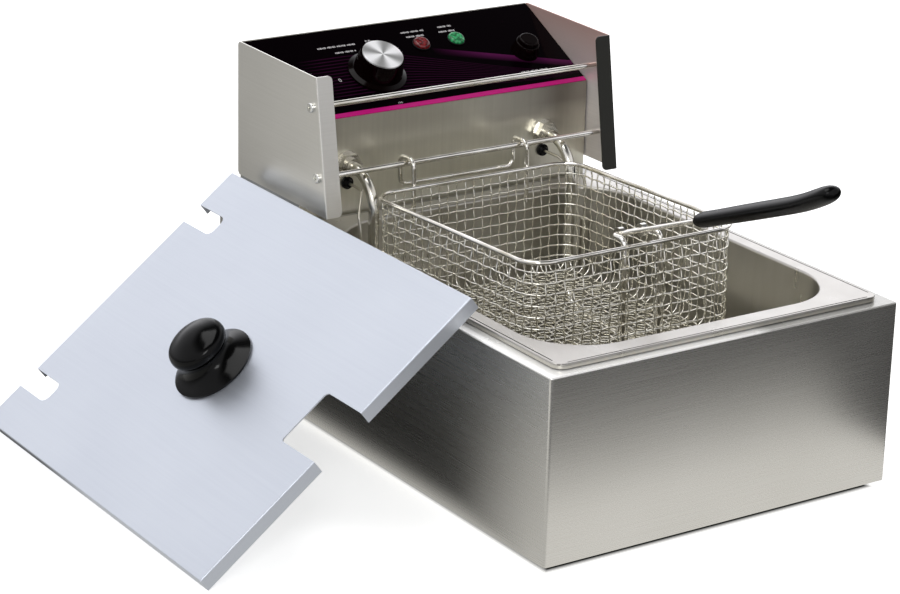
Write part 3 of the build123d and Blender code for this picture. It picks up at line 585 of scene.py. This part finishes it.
def paper_sweep():
    """White paper under the lights: it glows faintly, and a painted shadow under the casing makes only the
    slit under the casing go dark.
    """
    mat, base = new_finish("white_paper_sweep", "#ffffff", 0.9, 0.0, **{"Specular IOR Level": 0.0})
    centre = Vector(((case_low.x + case_high.x) / 2, (case_low.y + case_high.y) / 2, 0))
    x, y, _ = distance_axes_mm(mat, centre)
    half = (case_high - case_low) / 2 / MM
    out = calc(mat, "MAXIMUM", calc(mat, "SUBTRACT", x, half.x), calc(mat, "SUBTRACT", y, half.y))
    # painted shadow: dark and without glow under the casing's footprint
    beyond_painted_shadow = ramp(mat, out, 0.0, 1.0, -9.0, -4.0)
    feed(mat, base.inputs["Base Color"], blend(mat, beyond_painted_shadow, "#1a1a19", "#f4f4f3"))
    feed(mat, base.inputs["Emission Color"], blend(mat, beyond_painted_shadow, "#000000", "#fbfbfa"))
    base.inputs["Emission Strength"].default_value = PAPER_GLOW
    return mat


def stage_floor():
    bpy.ops.object.select_all(action="DESELECT")
    bpy.ops.mesh.primitive_plane_add(size=12.0, location=(0, 0, 0))
    floor = bpy.context.object
    floor.name = "pale_floor"
    floor.data.materials.append(paper_sweep())
    floor.visible_glossy = False
    floor.visible_diffuse = False


def tabletop_glow():
    """The white table as the steel mirrors it: bright near the front, dim further out, and in the
    lid's shade on the left."""
    left, right, front, back = -1.4, 1.2, case_low.y - 0.30, 1.6
    bpy.ops.object.select_all(action="DESELECT")
    bpy.ops.mesh.primitive_plane_add(size=1.0, location=((left + right) / 2, (front + back) / 2, 0.0004))
    table = bpy.context.object
    table.scale = (right - left, back - front, 1)
    settle(table)
    table.name = "tabletop_glow"
    mat, base = new_finish("white_table", "#000000", 0.9, 0.0, **{"Specular IOR Level": 0.0})
    x, y, _ = axes_mm(mat, Vector((case_low.x, case_low.y, 0)))
    ahead = ramp(mat, y, 0.05, 1.0, -240.0, -80.0)
    seen_from = calc(mat, "MULTIPLY_ADD", x, 1.2, y)
    under_lid = ramp(mat, seen_from, 0.75, 0.02, 15.0, 105.0)
    beyond_lid = calc(mat, "MULTIPLY", ramp(mat, x, 1.0, 0.0, -225.0, -190.0),
                      ramp(mat, seen_from, 1.0, 0.5, 430.0, 520.0))
    open_side = ramp(mat, x, 0.0, 1.0, -25.0, 0.0)
    beside = calc(mat, "MAXIMUM", calc(mat, "MAXIMUM", under_lid, beyond_lid), open_side)
    level = calc(mat, "MULTIPLY", calc(mat, "MULTIPLY", ahead, beside), TABLE_GLOW)
    base.inputs["Emission Color"].default_value = linear("#fffefb")
    feed(mat, base.inputs["Emission Strength"], level)
    table.data.materials.append(mat)
    hide_but_mirrored(table)


def hide_but_mirrored(piece):
    """A studio piece that only the shiny surfaces see."""
    piece.visible_camera = piece.visible_diffuse = piece.visible_shadow = piece.visible_transmission = False


def dark_flag():
    """A black card that stands to the right of the casing's front, for the steel to mirror."""
    bpy.ops.object.select_all(action="DESELECT")
    middle = (case_high.x + 0.057, case_low.y - 0.062, 0.15)
    bpy.ops.mesh.primitive_plane_add(size=1.0, location=middle, rotation=(0, math.pi / 2, 0))
    card = bpy.context.object
    card.scale = (0.30, 0.115, 1)
    settle(card)
    card.name = "dark_flag"
    mat, _ = new_finish("black_card", "#0a0a0a", 0.9, 0.0, **{
        "Specular IOR Level": 0.0, "Emission Color": linear("#ffffff"), "Emission Strength": FLAG_GLOW,
    })
    card.data.materials.append(mat)
    hide_but_mirrored(card)


def soft_light(name, place, target, size, power, colour="#ffffff"):
    light = bpy.data.lights.new(name, "AREA")
    light.shape = "RECTANGLE"
    light.size, light.size_y = size
    light.energy = power
    light.color = linear(colour)[:3]
    lamp = bpy.data.objects.new(name, light)
    bpy.context.scene.collection.objects.link(lamp)
    lamp.location = place
    lamp.rotation_euler = (Vector(target) - Vector(place)).to_track_quat("-Z", "Y").to_euler()
    return lamp


def pale_surround():
    """A pale room: bright all round above the table, dimmer straight overhead and low on the front right,
    with a brighter window on the right."""
    world = bpy.data.worlds.new("pale_studio")
    bpy.context.scene.world = world
    world.use_nodes = True
    world.node_tree.nodes.clear()
    x, y, z = add(world, "SeparateXYZ", {0: add(world, "TexCoord").outputs["Generated"]}).outputs

    def product(*values):
        total = values[0]
        for value in values[1:]:
            total = calc(world, "MULTIPLY", total, value)
        return total

    def side_of(bearing, low, high):
        """Rises from 0 to 1 across a bearing, counted in degrees from the front towards the right."""
        turn = math.radians(bearing)
        lean = calc(world, "MULTIPLY_ADD", y, math.sin(turn), calc(world, "MULTIPLY", x, math.cos(turn)))
        return ramp(world, lean, 0.0, 1.0, low, high)

    ahead = ramp(world, y, 1.0, 0.0, -0.1, 0.1)
    low_down = ramp(world, z, 1.0, 0.0, 0.12, 0.30)
    dark_corner = product(side_of(33.5, -0.02, 0.03), ahead, low_down)
    room = product(ramp(world, z, 0.22, 1.0, -0.05, 0.22), ramp(world, z, 1.0, 0.12, 0.66, 0.80))
    front_bank = product(ramp(world, y, 1.0, 0.0, -0.55, -0.35), ramp(world, z, 0.0, 1.0, -0.22, -0.12),
                         ramp(world, z, 1.0, 0.0, 0.1, 0.3))
    window = product(side_of(56.0, 0.55, 0.85), ramp(world, z, 0.0, 1.0, 0.05, 0.2),
                     ramp(world, z, 1.0, 0.0, 0.5, 0.7))
    light = product(calc(world, "MAXIMUM", room, front_bank), ramp(world, dark_corner, 1.0, 0.02))
    light = calc(world, "ADD", window, light)
    back = add(world, "Background", {"Color": linear("#fbfbff"), "Strength": light})
    out = add(world, "OutputWorld")
    feed(world, out.inputs["Surface"], back.outputs[0])


EYE_FROM_CORNER = Vector((-0.9836, -1.3445, 0.7714))
CAMERA_TURN, CAMERA_TILT, CAMERA_ROLL = -33.99, 19.53, 1.50
SENSOR_MM, LENS_MM = 36.0, 115.4


def photographer():
    """The camera stands front left and above: its place is measured from the casing's low corner."""
    turn, tilt, roll = (math.radians(v) for v in (CAMERA_TURN, CAMERA_TILT, CAMERA_ROLL))
    back = Vector((math.sin(turn) * math.cos(tilt), -math.cos(turn) * math.cos(tilt), math.sin(tilt)))
    level = Vector((math.cos(turn), math.sin(turn), 0))
    rise = back.cross(level)
    right = math.cos(roll) * level + math.sin(roll) * rise
    up = -math.sin(roll) * level + math.cos(roll) * rise
    data = bpy.data.cameras.new("camera")
    data.sensor_width = SENSOR_MM
    data.lens = LENS_MM
    data.clip_start, data.clip_end = 0.05, 50.0
    camera = bpy.data.objects.new("camera", data)
    bpy.context.scene.collection.objects.link(camera)
    facing = Matrix((right, up, back)).transposed().to_4x4()
    camera.matrix_world = Matrix.Translation(case_low + EYE_FROM_CORNER) @ facing
    bpy.context.scene.camera = camera


stage_floor()
tabletop_glow()
dark_flag()
soft_light("overhead_bank", (-0.5, 0.3, 2.2), (0, 0, 0.1), (1.8, 1.2), 22.0)
soft_light("front_left_bank", (-1.3, -1.6, 1.3), (0, 0, 0.1), (0.6, 0.6), 9.0)
pale_surround()
photographer()
bpy.context.scene.view_settings.view_transform = "Standard"
